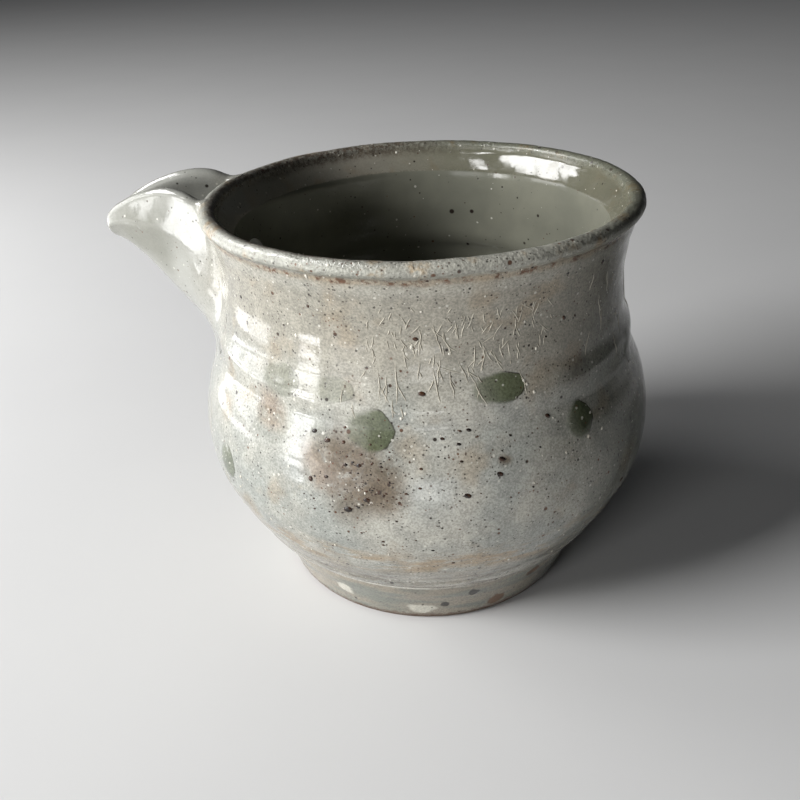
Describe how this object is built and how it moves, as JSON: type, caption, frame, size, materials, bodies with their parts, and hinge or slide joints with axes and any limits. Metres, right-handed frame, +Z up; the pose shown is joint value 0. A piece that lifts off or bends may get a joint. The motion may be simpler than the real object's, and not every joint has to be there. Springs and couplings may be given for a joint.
{
  "type": "spouted bowl",
  "caption": "Small round pouring bowl with a rolled, flared rim, a swelling belly, an open trough spout at one side and a turned foot ring, in pale speckled glaze.",
  "frame": {"origin": "on the plane the bowl stands on, under the middle of its outline: halfway between the tip of the spout and the belly opposite", "axes": "+Z up; the spout points along -X, so the object is symmetric about the XZ plane; the axis that the bowl was thrown on is parallel to Z at x = 0.0095 m"},
  "size_m": [0.119, 0.1, 0.0876],
  "materials": {
    "glaze": "glossy pale grey-green glaze with iron specks",
    "foot_glaze": "thin grey-brown glaze over a turned foot"
  },
  "bodies": {
    "root": {"thrown_body": "glaze", "spout": "glaze", "seam_coil": "glaze", "foot_ring": "foot_glaze"}
  },
  "joints": []
}
